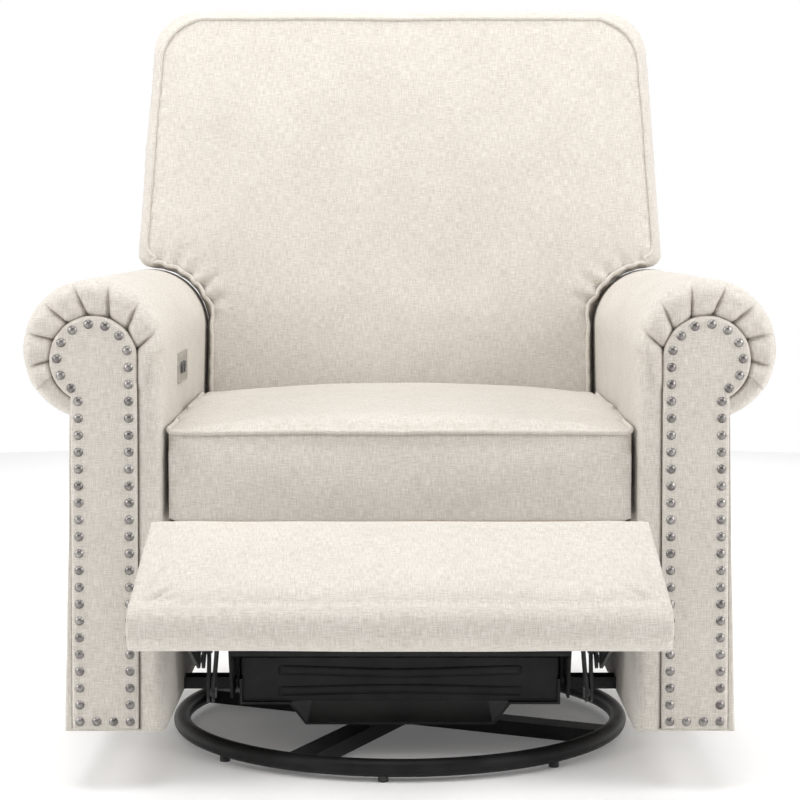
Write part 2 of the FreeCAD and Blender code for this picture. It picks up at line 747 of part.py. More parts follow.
# Nail heads follow the panel's edge: up the inside, over the roll, down the outside, along the foot.
inset = size("nail_inset")
inner_x = size("panel_inner") + inset
outer_x = size("panel_outer") - inset
foot_z = size("panel_base") + inset
lobe = (size("lobe_centre"), size("lobe_height"))
bend_radius = size("lobe_radius") - inset
waist_angle = -math.acos((outer_x - lobe[0]) / bend_radius)
leg = lobe[1] - foot_z
lobe_run = bend_radius * (math.pi - waist_angle)
outer_leg = lobe[1] + bend_radius * math.sin(waist_angle) - foot_z
run = leg + lobe_run + outer_leg
count = round(run / size("nail_pitch"))
spots = []
for index in range(count + 1):
    reach = run * index / count
    if reach < leg:
        spots.append((inner_x, foot_z + reach))
    elif reach < leg + lobe_run:
        angle = math.pi - (reach - leg) / bend_radius
        spots.append((lobe[0] + bend_radius * math.cos(angle), lobe[1] + bend_radius * math.sin(angle)))
    else:
        spots.append((outer_x, foot_z + run - reach))
for index in (1, 2):
    spots.append((inner_x + (outer_x - inner_x) * index / 3, foot_z))
dome_radius = (size("nail_radius") ** 2 + size("nail_rise") ** 2) / (2 * size("nail_rise"))
face_y = -size("arm_front") - size("panel_gauge")
dome = Part.makeSphere(dome_radius, FreeCAD.Vector(0, dome_radius - size("nail_rise"), 0))
slab = Part.makeBox(30, size("nail_rise") + 1, 30, FreeCAD.Vector(-15, -size("nail_rise") - 1, -15))
nail = dome.common(slab)
nails = doc.addObject("Part::Feature", "nails_left")
nails.Shape = Part.makeCompound([nail.translated(FreeCAD.Vector(x, face_y, z)) for x, z in spots])
keep("arm_nailheads_left", nails)
keep("arm_nailheads_right", mirror("nails_right", nails))

# Back: padding, frame and shell share a T-shaped outline and lean back together.
def back_blank(name, base, inset):
    """T-shaped block, wide above the arms and narrow between them."""
    wide = "back_wide - %s" % inset
    narrow = "back_narrow - %s" % inset
    top = "back_top - %s" % inset
    ear_z = "back_ear + %s" % inset
    corner = "back_corner"
    shoulder = "(1 - sqrt(0.5)) * back_corner"
    outline = [
        ("-(%s)" % narrow, base),
        (narrow, base),
        (narrow, ear_z),
        (wide, ear_z),
        (wide, "%s - %s" % (top, corner)),
        ("arc", "%s - %s" % (wide, shoulder), "%s - %s" % (top, shoulder)),
        ("%s - %s" % (wide, corner), top),
        ("-(%s) + %s" % (wide, corner), top),
        ("arc", "-(%s) + %s" % (wide, shoulder), "%s - %s" % (top, shoulder)),
        ("-(%s)" % wide, "%s - %s" % (top, corner)),
        ("-(%s)" % wide, ear_z),
        ("-(%s)" % narrow, ear_z),
    ]
    return prism(name, "XZ_Plane", outline, "0", "600")


def back_slab(name, near, far):
    """Leaning layer of the back between two offsets from its front face."""
    outline = [(back_face(z, offset), z) for z, offset in (
        ("250", near),
        ("250", far),
        ("1100", far),
        ("1100", near),
    )]
    return prism(name, "YZ_Plane", outline, "-back_wide", "back_wide")


keep(
    "back_cushion",
    common(
        "back_cushion",
        back_blank("cushion_blank", "back_base", 0),
        back_slab("cushion_slab", 0, "back_padding"),
    ),
)
frame_blank = back_blank("frame_blank", "back_base", 14)
window = box(
    "frame_window",
    ("-back_narrow + 70", "back_narrow - 70"),
    (0, 600),
    ("back_base + 70", "back_top - 90"),
)
frame_slab = back_slab("frame_slab", "back_padding", "back_padding + back_frame_gauge")
keep("back_frame", common("back_frame", cut("frame_open", frame_blank, window), frame_slab))
shell_near = "back_padding + back_frame_gauge"
shell_slab = back_slab("shell_slab", shell_near, shell_near + " + back_shell_gauge")
keep("back_shell", common("back_shell", back_blank("shell_blank", "shell_base", 2), shell_slab))
frame_foot = back_face("hinge_z - 4", shell_near) + " - 1"
bracket_outline = [
    ("hinge_y - hinge_radius", "hinge_z"),
    ("arc", "hinge_y", "hinge_z - hinge_radius"),
    (frame_foot, "hinge_z - 4"),
    (frame_foot, "back_base"),
    ("hinge_y - hinge_radius", "back_base"),
]
bracket = prism(
    "back_bracket",
    "YZ_Plane",
    bracket_outline,
    layer(1),
    layer_outer(1),
    [("hinge_y", "hinge_z", free)],
)
keep("back_hinge_brackets", pair("back_brackets", bracket))
keep(
    "rear_panel",
    box(
        "rear_panel",
        ("-arm_inner", "arm_inner"),
        ("rear_panel_y", "rear_panel_y + rear_panel_gauge"),
        ("arm_base", "rear_panel_top"),
    ),
)

# Controls on the inside of the right arm: bezel, two buttons, a charging socket and their housing.
bezel_x = ("-arm_inner", "-arm_inner + bezel_gauge")
bezel_y = ("bezel_y - bezel_length / 2", "bezel_y + bezel_length / 2")
bezel_z = ("bezel_z - bezel_height / 2", "bezel_z + bezel_height / 2")
button_places = (("button_recline", "bezel_y - button_spacing"), ("button_return", "bezel_y"))
usb_y = "bezel_y + button_spacing"
bezel_plate = box("bezel_plate", bezel_x, bezel_y, bezel_z)
openings = []
for name, y in button_places:
    openings.append(cylinder(
        name + "_opening",
        "X",
        "button_radius + button_gap",
        bezel_x[0],
        bezel_x[1],
        (y, "bezel_z"),
    ))
usb_opening = box(
    "usb_opening",
    bezel_x,
    (usb_y + " - 8", usb_y + " + 8"),
    ("bezel_z - 5", "bezel_z + 5"),
)
keep("control_bezel", cut("bezel", bezel_plate, usb_opening, *openings))
housing_x = ("-arm_inner - housing_depth", "-arm_inner")
housing = box(
    "housing_block",
    housing_x,
    ("bezel_y - bezel_length / 2 + 6", "bezel_y + bezel_length / 2 - 6"),
    ("bezel_z - bezel_height / 2 + 5", "bezel_z + bezel_height / 2 - 5"),
)
housing_room = box("housing_room", ("-arm_inner - housing_depth + 2", "-arm_inner"),
                   ("bezel_y - bezel_length / 2 + 8", "bezel_y + bezel_length / 2 - 8"),
                   ("bezel_z - bezel_height / 2 + 7", "bezel_z + bezel_height / 2 - 7"))
keep("control_housing", cut("housing", housing, housing_room))
for name, y in button_places:
    keep(
        name,
        cylinder(
            name,
            "X",
            "button_radius",
            "-arm_inner - 8",
            "-arm_inner + bezel_gauge + 2.5",
            (y, "bezel_z"),
        ),
    )
usb_body = box(
    "usb_body",
    ("-arm_inner - 14", "-arm_inner + bezel_gauge"),
    (usb_y + " - 8", usb_y + " + 8"),
    ("bezel_z - 5", "bezel_z + 5"),
)
usb_slot = box(
    "usb_slot",
    ("-arm_inner - 8", "-arm_inner + bezel_gauge"),
    (usb_y + " - 6", usb_y + " + 6"),
    ("bezel_z - 2.5", "bezel_z + 2.5"),
)
keep("usb_socket", cut("usb", usb_body, usb_slot))
housing_pocket = box(
    "housing_pocket",
    housing_x,
    ("bezel_y - bezel_length / 2 + 6", "bezel_y + bezel_length / 2 - 6"),
    ("bezel_z - bezel_height / 2 + 5", "bezel_z + bezel_height / 2 - 5"),
)
keep("arm_padding_left", arm_pad)
keep("arm_padding_right", cut("arm_pad_right", mirror("arm_pad_mirror", arm_pad), housing_pocket))

# Mains inlet low on the rear panel.
inlet_block = box(
    "inlet_block",
    (190, 240),
    ("rear_panel_y + rear_panel_gauge", "rear_panel_y + rear_panel_gauge + 8"),
    (110, 145),
)
inlet_well = box(
    "inlet_well",
    (202, 228),
    ("rear_panel_y + rear_panel_gauge + 2", "rear_panel_y + rear_panel_gauge + 8"),
    (119, 136),
)
keep("power_inlet", cut("inlet", inlet_block, inlet_well))

doc.recompute()
for feature in doc.Objects:
    for state in feature.State:
        if state in ("Invalid", "Error"):
            raise RuntimeError("%s is %s" % (feature.Label, state))
for name, feature in nodes.items():
    shape = feature.Shape
    if shape.isNull() or not shape.isValid() or not shape.Solids:
        raise RuntimeError("%s has no valid solid" % name)

os.makedirs("parts", exist_ok=True)
for name, feature in nodes.items():
    feature.Shape.exportStep("parts/%s.step" % name)
print(len(nodes), "sub-parts")
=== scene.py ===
import json
import math

import bpy
import bmesh
import numpy as np
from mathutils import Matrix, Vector, noise
from mathutils.bvhtree import BVHTree


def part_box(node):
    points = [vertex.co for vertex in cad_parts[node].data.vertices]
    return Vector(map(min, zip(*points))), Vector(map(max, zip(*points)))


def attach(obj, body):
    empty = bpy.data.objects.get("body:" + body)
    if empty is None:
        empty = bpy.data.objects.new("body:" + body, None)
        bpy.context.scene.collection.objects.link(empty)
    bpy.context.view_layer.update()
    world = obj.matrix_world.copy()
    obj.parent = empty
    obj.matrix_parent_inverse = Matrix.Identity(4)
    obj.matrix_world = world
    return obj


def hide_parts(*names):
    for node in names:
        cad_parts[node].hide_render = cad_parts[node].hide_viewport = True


# Looks of a powered swivel glider recliner, built around its CAD frame.
# Metres, +Z up; the chair faces -Y and its left side is +X.

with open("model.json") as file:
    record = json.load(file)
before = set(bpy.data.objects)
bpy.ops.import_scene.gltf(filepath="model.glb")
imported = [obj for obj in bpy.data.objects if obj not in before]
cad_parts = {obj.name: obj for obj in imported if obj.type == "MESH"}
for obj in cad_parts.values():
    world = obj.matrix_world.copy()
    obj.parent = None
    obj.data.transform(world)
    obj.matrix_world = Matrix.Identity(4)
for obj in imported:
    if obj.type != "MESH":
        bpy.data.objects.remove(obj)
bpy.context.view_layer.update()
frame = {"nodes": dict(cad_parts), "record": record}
scene = bpy.context.scene

BACK_TILT = math.radians(14)
FOOTREST_TILT = math.radians(15)
FOOTREST_COS, FOOTREST_SIN = math.cos(FOOTREST_TILT), math.sin(FOOTREST_TILT)
WELT = 0.0033  # radius of the piping
WELT_SIDES = 6
CURVE_STEPS = 12
THREAD_PITCH = 0.0016
GAP_BLOCK = 4000  # points measured at a time
CLOTH_FRAMES = 20
MOST_SHRINK = 0.0008  # how far a padded face may draw inwards as it is inflated


# ---------------------------------------------------------------- materials


def new_material(name):
    material = bpy.data.materials.new(name)
    material.use_nodes = True
    nodes = material.node_tree.nodes
    shader = nodes["Principled BSDF"]
    return material, nodes, material.node_tree.links, shader


def add(nodes, kind, **values):
    node = nodes.new(kind)
    for key, value in values.items():
        if key in node.inputs:
            node.inputs[key].default_value = value
        else:
            setattr(node, key, value)
    return node


def ramp(nodes, links, source, stops):
    """Colour ramp over a value; stops are (position, colour)."""
    node = nodes.new("ShaderNodeValToRGB")
    elements = node.color_ramp.elements
    while len(elements) < len(stops):
        elements.new(0.5)
    for element, (position, colour) in zip(elements, stops):
        element.position = position
        element.color = (*colour, 1)
    links.new(source, node.inputs["Fac"])
    return node.outputs["Color"]


def stretched_noise(nodes, links, coordinates, scale, detail=2.0, shift=0.0):
    """Noise drawn out along one direction, as thick and thin threads are."""
    mapping = add(nodes, "ShaderNodeMapping")
    mapping.inputs["Scale"].default_value = scale
    mapping.inputs["Location"].default_value = (shift, shift * 1.7, shift)
    links.new(coordinates, mapping.inputs["Vector"])
    texture = add(nodes, "ShaderNodeTexNoise", Scale=1.0, Detail=detail, Roughness=0.6)
    links.new(mapping.outputs["Vector"], texture.inputs["Vector"])
    return texture.outputs["Fac"]


def math_node(nodes, links, operation, first, second):
    node = nodes.new("ShaderNodeMath")
    node.operation = operation
    for socket, value in zip(node.inputs, (first, second)):
        if isinstance(value, (int, float)):
            socket.default_value = value
        else:
            links.new(value, socket)
    return node.outputs[0]


def linen(name, dark, light, slub=0.5):
    """Cross-woven cloth: crossing slubs, a fine thread grid, soft mottling and a little fuzz."""
    material, nodes, links, shader = new_material(name)
    uv = add(nodes, "ShaderNodeUVMap", uv_map="weave").outputs["UV"]
    weft = stretched_noise(nodes, links, uv, (70, 820, 1), 2.5)
    warp = stretched_noise(nodes, links, uv, (820, 70, 1), 2.5, shift=3.1)
    fleck = stretched_noise(nodes, links, uv, (130, 900, 1), 1.0, shift=7.7)
    mottle = stretched_noise(nodes, links, uv, (14, 14, 1), 3.0, shift=5.3)
    threads = math_node(nodes, links, "ADD", weft, warp)
    threads = math_node(nodes, links, "MULTIPLY", threads, 0.5)
    blend = math_node(nodes, links, "MULTIPLY", mottle, 0.10)
    tone = math_node(nodes, links, "ADD", math_node(nodes, links, "MULTIPLY", threads, 0.90), blend)
    colour = ramp(nodes, links, tone, [(0.5 - slub * 0.25, dark), (0.5 + slub * 0.25, light)])
    flecks = ramp(nodes, links, fleck, [(0.20, (0.62, 0.58, 0.52)), (0.33, (1, 1, 1))])
    mix = nodes.new("ShaderNodeMix")
    mix.data_type = "RGBA"
    mix.blend_type = "MULTIPLY"
    mix.inputs["Factor"].default_value = 0.6
    links.new(colour, mix.inputs["A"])
    links.new(flecks, mix.inputs["B"])
    links.new(mix.outputs["Result"], shader.inputs["Base Color"])
    split = nodes.new("ShaderNodeSeparateXYZ")
    links.new(uv, split.inputs[0])
    grid = []
    for axis in ("X", "Y"):
        wave = math_node(nodes, links, "MULTIPLY", split.outputs[axis], 2 * math.pi / THREAD_PITCH)
        grid.append(math_node(nodes, links, "SINE", wave, 0.0))
    weave = math_node(nodes, links, "MULTIPLY", grid[0], grid[1])
    coarse = math_node(nodes, links, "MULTIPLY", threads, 2.2)
    height = math_node(nodes, links, "ADD", coarse, math_node(nodes, links, "MULTIPLY", weave, 0.18))
    bump = add(nodes, "ShaderNodeBump", Strength=0.55, Distance=0.0007)
    links.new(height, bump.inputs["Height"])
    links.new(bump.outputs["Normal"], shader.inputs["Normal"])
    rough = math_node(nodes, links, "ADD", math_node(nodes, links, "MULTIPLY", threads, 0.12), 0.80)
    links.new(rough, shader.inputs["Roughness"])
    shader.inputs["Sheen Weight"].default_value = 0.12
    shader.inputs["Sheen Roughness"].default_value = 0.5
    shader.inputs["Specular IOR Level"].default_value = 0.2
    return material


GLOSS_SPREAD = 0.12


def hard(name, dark, light, metallic, rough, grain=(60, 60, 60), bump_depth=0.0001, specular=0.5):
    """Painted, plated or moulded surface with uneven tone, uneven gloss and a faint texture."""
    material, nodes, links, shader = new_material(name)
    place = add(nodes, "ShaderNodeTexCoord").outputs["Object"]
    broad = stretched_noise(nodes, links, place, tuple(axis * 0.35 for axis in grain), 4.0)
    fine = stretched_noise(nodes, links, place, tuple(axis * 12 for axis in grain), 2.0, shift=2.2)
    links.new(ramp(nodes, links, broad, [(0.35, dark), (0.65, light)]), shader.inputs["Base Color"])
    uneven = math_node(nodes, links, "MULTIPLY", math_node(nodes, links, "ADD", broad, fine), GLOSS_SPREAD)
    links.new(math_node(nodes, links, "ADD", uneven, rough - GLOSS_SPREAD), shader.inputs["Roughness"])
    shader.inputs["Specular IOR Level"].default_value = specular
    bump = add(nodes, "ShaderNodeBump", Strength=0.4, Distance=bump_depth)
    links.new(fine, bump.inputs["Height"])
    links.new(bump.outputs["Normal"], shader.inputs["Normal"])
    shader.inputs["Metallic"].default_value = metallic
    return material


def wood(name, dark, light):
    material, nodes, links, shader = new_material(name)
    place = add(nodes, "ShaderNodeTexCoord").outputs["Object"]
    grain = stretched_noise(nodes, links, place, (9, 160, 160), 5.0)
    links.new(ramp(nodes, links, grain, [(0.3, dark), (0.7, light)]), shader.inputs["Base Color"])
    bump = add(nodes, "ShaderNodeBump", Strength=0.4, Distance=0.0003)
    links.new(grain, bump.inputs["Height"])
    links.new(bump.outputs["Normal"], shader.inputs["Normal"])
    shader.inputs["Roughness"].default_value = 0.62
    return material


BLACK = (0.006, 0.006, 0.0065)
cream = linen("cream_linen", (0.500, 0.460, 0.406), (0.720, 0.682, 0.628))
black_cloth = linen("black_dust_cloth", (0.012, 0.012, 0.012), (0.03, 0.03, 0.03))
CAD_LOOKS = {
    "ring_steel": hard(
        "satin_black_powder_coat", BLACK, (0.013, 0.013, 0.0135), 0.0, 0.44, bump_depth=0.0002, specular=0.2
    ),
    "mechanism_steel": hard(
        "black_pressed_steel", BLACK, (0.016, 0.016, 0.0165), 0.0, 0.48, bump_depth=0.0002, specular=0.25
    ),
    "rivet_steel": hard("dull_rivet_steel", (0.05, 0.05, 0.05), (0.16, 0.16, 0.16), 0.9, 0.45),
    "bearing_steel": hard("ground_steel", (0.35, 0.35, 0.36), (0.5, 0.5, 0.5), 1.0, 0.3),
    "glide_plastic": hard("glide_plastic", (0.012, 0.012, 0.012), (0.03, 0.03, 0.03), 0.0, 0.55),
    "motor_plastic": hard("motor_plastic", (0.012, 0.012, 0.013), (0.03, 0.03, 0.032), 0.0, 0.5),
    "frame_wood": wood("bare_hardwood", (0.40, 0.26, 0.14), (0.66, 0.50, 0.32)),
    "nailhead": hard(
        "pewter", (0.16, 0.15, 0.145), (0.36, 0.345, 0.33), 1.0, 0.38, grain=(240, 240, 240)
    ),
    "control_plate": hard(
        "satin_nickel", (0.45, 0.44, 0.42), (0.62, 0.61, 0.58), 1.0, 0.34, grain=(20, 20, 400)
    ),
    "button": hard("dark_grey_button", (0.05, 0.05, 0.05), (0.09, 0.09, 0.09), 0.0, 0.45),
    "spring_wire": hard("oiled_spring_wire", (0.04, 0.04, 0.04), (0.12, 0.12, 0.12), 1.0, 0.4),
    "dark_cover": black_cloth,
    "linen": cream,
}
for row in frame["record"]["subparts"]:
    node = frame["nodes"][row["node"]]
    node.data.materials.clear()
    node.data.materials.append(CAD_LOOKS[row["material_slot"]])


# ---------------------------------------------------------------- mesh helpers


def make_object(name, vertices, faces):
    mesh = bpy.data.meshes.new(name)
    mesh.from_pydata([tuple(v) for v in vertices], [], faces)
    mesh.validate()
    piece = bpy.data.objects.new(name, mesh)
    scene.collection.objects.link(piece)
    tidy = bmesh.new()
    tidy.from_mesh(mesh)
    bmesh.ops.recalc_face_normals(tidy, faces=tidy.faces)
    tidy.to_mesh(mesh)
    tidy.free()
    return piece


def coordinates(piece):
    co = np.zeros(len(piece.data.vertices) * 3)
    piece.data.vertices.foreach_get("co", co)
    return co.reshape(-1, 3)


def set_coordinates(piece, co):
    piece.data.vertices.foreach_set("co", co.ravel())
    piece.data.update()


def normals(piece):
    out = np.zeros(len(piece.data.vertices) * 3)
    piece.data.vertices.foreach_get("normal", out)
    return out.reshape(-1, 3)


def finish_piece(piece, body, replaced=(), material=cream):
    """Smooth shading, cloth direction, material, and what the piece rides on and stands for."""
    mesh = piece.data
    mesh.polygons.foreach_set("use_smooth", [True] * len(mesh.polygons))
    lay_weave(piece)
    mesh.materials.clear()
    mesh.materials.append(material)
    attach(piece, body)
    if replaced:
        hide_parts(*replaced)
    return piece


def lay_weave(piece):
    """Cloth coordinates in metres, each face taking them from the plane it faces most."""
    mesh = piece.data
    layer = mesh.uv_layers.get("weave") or mesh.uv_layers.new(name="weave")
    co = coordinates(piece)
    loops = np.zeros(len(mesh.loops), int)
    mesh.loops.foreach_get("vertex_index", loops)
    facing = np.zeros(len(mesh.polygons) * 3)
    mesh.polygons.foreach_get("normal", facing)
    facing = np.abs(facing.reshape(-1, 3))
    totals = np.zeros(len(mesh.polygons), int)
    mesh.polygons.foreach_get("loop_total", totals)
    side = np.repeat(np.argmax(facing, axis=1), totals)
    points = co[loops]
    u = np.where(side == 0, points[:, 1], points[:, 0])
    v = np.where(side == 2, points[:, 1], points[:, 2])
    layer.data.foreach_set("uv", np.stack([u, v], axis=1).ravel())


def ripple(piece, depth, scale, seed, where=None):
    """Shallow unevenness along the normals, as hand-pulled cloth has."""
    co, facing = coordinates(piece), normals(piece)
    offset = Vector((seed * 3.7, seed * 1.3, seed * 2.1))
    amount = np.array([noise.noise(Vector(p) * scale + offset) for p in co]) * depth
    if where is not None:
        amount *= where(co)
    set_coordinates(piece, co + facing * amount[:, None])


def remesh(piece, voxel):
    modifier = piece.modifiers.new("voxels", "REMESH")
    modifier.mode = "VOXEL"
    modifier.voxel_size = voxel
    modifier.use_smooth_shade = True
    bake_modifiers(piece)


def bake_modifiers(piece):
    graph = bpy.context.evaluated_depsgraph_get()
    mesh = bpy.data.meshes.new_from_object(piece.evaluated_get(graph))
    piece.modifiers.clear()
    piece.data = mesh


def inflate(piece, voxel, pressure, cap, held, ease=None):
    """Remesh a closed form and puff it up as cloth. held(co) is 1 where a seam or the frame holds it, no
    point moves further than about cap, and ease(co) scales the movement."""
    remesh(piece, voxel)
    rest, facing = coordinates(piece), normals(piece)
    hold = held(rest)
    group = piece.vertex_groups.new(name="held")
    for index in np.nonzero(hold > 0.01)[0]:
        group.add([int(index)], float(hold[index]), "REPLACE")
    cloth = piece.modifiers.new("cloth", "CLOTH")
    settings = cloth.settings
    settings.quality = 4
    settings.mass = 0.25
    settings.tension_stiffness = 12
    settings.compression_stiffness = 12
    settings.shear_stiffness = 5
    settings.bending_stiffness = 0.6
    settings.use_pressure = True
    settings.uniform_pressure_force = pressure
    settings.vertex_group_mass = "held"
    settings.effector_weights.gravity = 0
    cloth.point_cache.frame_start = 1
    cloth.point_cache.frame_end = CLOTH_FRAMES
    for step in range(1, CLOTH_FRAMES + 1):
        scene.frame_set(step)
    bake_modifiers(piece)
    scene.frame_set(1)
    moved = coordinates(piece) - rest
    shrunk = np.minimum((moved * facing).sum(axis=1) + MOST_SHRINK, 0)
    moved = moved - facing * shrunk[:, None]
    length = np.linalg.norm(moved, axis=1)
    factor = np.where(length > 1e-7, cap * np.tanh(length / cap) / np.maximum(length, 1e-7), 0)
    if ease is not None:
        factor = factor * ease(rest)
    set_coordinates(piece, rest + moved * factor[:, None])


def prism_from(name, outline, place_front, place_back):
    """Closed solid between two copies of an outline; each placer turns an outline point into a place."""
    return loft(name, [place_front(p) for p in outline], [place_back(p) for p in outline])


def loft(name, *rings):
    """Closed solid through rings of points, matched one to one."""
    count = len(rings[0])
    vertices = [point for ring in rings for point in ring]
    faces = [tuple(range(count)), tuple(range(len(rings) * count - 1, (len(rings) - 1) * count - 1, -1))]
    for ring in range(len(rings) - 1):
        low, high = ring * count, (ring + 1) * count
        faces += [(low + i, low + (i + 1) % count, high + (i + 1) % count, high + i) for i in range(count)]
    return make_object(name, vertices, faces)


def arc(centre, radius, start, end, steps=CURVE_STEPS):
    """Points on an arc, angles in degrees, both ends included."""
    turns = np.radians(np.linspace(start, end, steps + 1))
    return [(centre[0] + radius * math.cos(t), centre[1] + radius * math.sin(t)) for t in turns]


def resample(points, spacing, closed=False):
    """Points along a polyline at an even spacing."""
    points = [np.array(p, float) for p in points]
    if closed:
        points = points + [points[0]]
    lengths = [np.linalg.norm(b - a) for a, b in zip(points, points[1:])]
    total = sum(lengths)
    count = max(2, int(round(total / spacing)))
    marks = np.linspace(0, total, count + 1)
    reach = np.concatenate([[0], np.cumsum(lengths)])
    table = np.array(points)
    out = np.stack([np.interp(marks, reach, table[:, axis]) for axis in range(table.shape[1])], axis=1)
    return out[:-1] if closed else out


def tree_of(piece):
    graph = bpy.context.evaluated_depsgraph_get()
    return BVHTree.FromObject(piece, graph)


def snap(points, tree, lift):
    """Points moved onto a surface, then lifted off it along its normal."""
    out = []
    for point in points:
        spot, facing, _, _ = tree.find_nearest(Vector(point))
        out.append(spot + facing * lift)
    return out


def welt(name, points, body, closed=False):
    """Round piping covered in cloth, along a path."""
    curve = bpy.data.curves.new(name, "CURVE")
    curve.dimensions = "3D"
    curve.bevel_depth = WELT
    curve.bevel_resolution = WELT_SIDES // 2
    curve.use_fill_caps = True
    spline = curve.splines.new("NURBS")
    spline.points.add(len(points) - 1)
    for target, point in zip(spline.points, points):
        target.co = (*point, 1)
    spline.order_u = 3
    spline.resolution_u = 2
    spline.use_cyclic_u = closed
    spline.use_endpoint_u = not closed
    holder = bpy.data.objects.new(name + "_path", curve)
    scene.collection.objects.link(holder)
    graph = bpy.context.evaluated_depsgraph_get()
    mesh = bpy.data.meshes.new_from_object(holder.evaluated_get(graph))
    bpy.data.objects.remove(holder)
    piece = bpy.data.objects.new(name, mesh)
    scene.collection.objects.link(piece)
    return finish_piece(piece, body)


def gap_to_path(co, path, reach):
    """Distance of each point to the nearest of a path's close points, at most reach."""
    out = np.zeros(len(co))
    path = np.array(path)
    for start in range(0, len(co), GAP_BLOCK):
        block = co[start:start + GAP_BLOCK]
        far = np.linalg.norm(block[:, None, :] - path[None, :, :], axis=2).min(axis=1)
        out[start:start + GAP_BLOCK] = np.minimum(far, reach)
    return out


def pucker(piece, path, depth, pitch, reach):
    """Small gathers beside a seam, fading out within reach of it."""
    co, facing = coordinates(piece), normals(piece)
    near = gap_to_path(co, path, reach)
    along = (np.abs(co[:, 0]) + co[:, 2]) * 2 * math.pi / pitch
    uneven = np.array([noise.noise(Vector(p) * 14) for p in co])
    amount = depth * np.sin(along + 3 * uneven) * (near / reach) * (1 - near / reach) * 4
    set_coordinates(piece, co + facing * amount[:, None])


def crease(piece, start, end, width, depth):
    """One soft fold in a forward-facing surface, from a seam outwards, between two (x, z) points: a groove
    with a low ridge beside it."""
    co, facing = coordinates(piece), normals(piece)
    flat = co[:, [0, 2]]
    start, end = np.array(start), np.array(end)
    run = end - start
    share = np.clip((flat - start) @ run / (run @ run), 0, 1)
    away = np.linalg.norm(flat - (start + share[:, None] * run), axis=1)
    fade = (1 - share) ** 0.8 * np.clip(-facing[:, 1] * 2, 0, 1)
    groove = np.exp(-((away / width) ** 2))
    ridge = 0.4 * np.exp(-(((away - 2 * width) / width) ** 2))
    amount = depth * (ridge - groove)
    set_coordinates(piece, co + facing * (amount * fade)[:, None])


# ---------------------------------------------------------------- seat cushion

seat_lo, seat_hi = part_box("seat_cushion")
SEAT_EDGE = seat_lo.z + 0.122  # height of the welt along the front
seat_x = seat_hi.x - 0.003
seat_front = seat_lo.y + 0.006
seat_profile = [
    (seat_front, seat_lo.z + 0.004),
    (seat_hi.y - 0.045, seat_lo.z + 0.004),
    (seat_hi.y - 0.014, SEAT_EDGE + 0.010),
    (-0.08, SEAT_EDGE + 0.014),
    (seat_front + 0.004, SEAT_EDGE),
]
seat = prism_from(
    "seat_cushion_cover",
    seat_profile,
    lambda p: (-seat_x, p[0], p[1]),
    lambda p: (seat_x, p[0], p[1]),
)


# The seat's welt runs along the front top edge and back along both sides.
seam_end, seam_rise = seat_hi.y - 0.06, SEAT_EDGE + 0.008
seat_seam = [(-seat_x, seam_end, seam_rise), (-seat_x, seat_front, SEAT_EDGE)]
seat_seam += [(seat_x, seat_front, SEAT_EDGE), (seat_x, seam_end, seam_rise)]
seat_path = resample(seat_seam, 0.006)


def seat_held(co):
    near = gap_to_path(co, seat_path, 0.02)
    hold = (near < 0.006).astype(float)
    hold[co[:, 2] < seat_lo.z + 0.016] = 1
    return hold


def seat_ease(co):
    """The sides rest against the arms, so they hardly swell."""
    return np.where(np.abs(co[:, 0]) > seat_x - 0.004, 0.15, 1.0)


inflate(seat, voxel=0.006, pressure=4.0, cap=0.026, held=seat_held, ease=seat_ease)
ripple(seat, depth=0.0014, scale=9.0, seed=1)
finish_piece(seat, "chair", ["seat_cushion"])
welt("seat_welt", snap(seat_path, tree_of(seat), lift=0.0018), "chair")

# ---------------------------------------------------------------- back

back_lo, back_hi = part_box("back_cushion")
arm_lo, arm_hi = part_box("arm_padding_left")
ROLL_RADIUS = (arm_hi.x - arm_lo.x) / 2
ROLL = (arm_lo.x + ROLL_RADIUS, arm_hi.z - ROLL_RADIUS)
EAR_STEPS = 8
shell_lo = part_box("back_shell")[0]
BACK_NARROW = 0.3038  # half width between the arms
BACK_EAR = 0.672  # height of the underside of the ears
BACK_TAPER = 0.016  # each side, from the ears to the top
BACK_CORNER, EAR_CORNER = 0.075, 0.022  # radii
BACK_DEPTH = 0.121
BOXING_ROLL = 0.010  # how far the welt stands in from the back's outline
BOXING_SWELL = 0.006  # how far the boxing behind it stands out past that outline
# Folds at the ears' inner corners (angle above the outward horizontal, length), and gathers round the rolls
# (angle round the roll, length); each with the width and depth of its groove.
FOLD_ROOT = (BACK_NARROW - 0.004, 0.592)
EAR_FOLDS, FOLD_SIZE = [(75, 0.085), (112, 0.06)], (0.008, 0.0035)
EAR_GATHERS = [(100, 0.030), (114, 0.042), (128, 0.034), (143, 0.048), (158, 0.036)]
GATHER_SIZE = (0.0065, 0.0055)


def back_point(x, z, depth):
    """Point on the leaning back: depth is measured rearwards from its front face."""
    return (x, back_lo.y + (z - back_lo.z) * math.tan(BACK_TILT) + depth, z)


def back_depth(co):
    return co[:, 1] - back_lo.y - (co[:, 2] - back_lo.z) * math.tan(BACK_TILT)


def back_outline(inset, bottom, ear_drop=0.0):
    """T-shaped outline, from the lower right corner up and round to the lower left. ear_drop lets the ears'
    undersides sink towards the rolls of the arms: 0 is level, and 1 follows the rolls at an even gap."""
    wide, narrow = back_hi.x - inset, BACK_NARROW - max(inset, 0.0)
    top, ear = back_hi.z - inset, BACK_EAR + inset
    gap_radius = ROLL[0] - narrow
    right = [(narrow, bottom)]
    for x, z in arc(ROLL, gap_radius, 180, 92, EAR_STEPS):
        right.append((x, ear + (z - ear) * ear_drop))
    right += arc((wide - EAR_CORNER, ear + EAR_CORNER), EAR_CORNER, -80, 0, 4)
    right += arc((wide - BACK_TAPER - BACK_CORNER, top - BACK_CORNER), BACK_CORNER, 0, 82)
    left = [(-x, z) for x, z in reversed(right)]
    return right + left


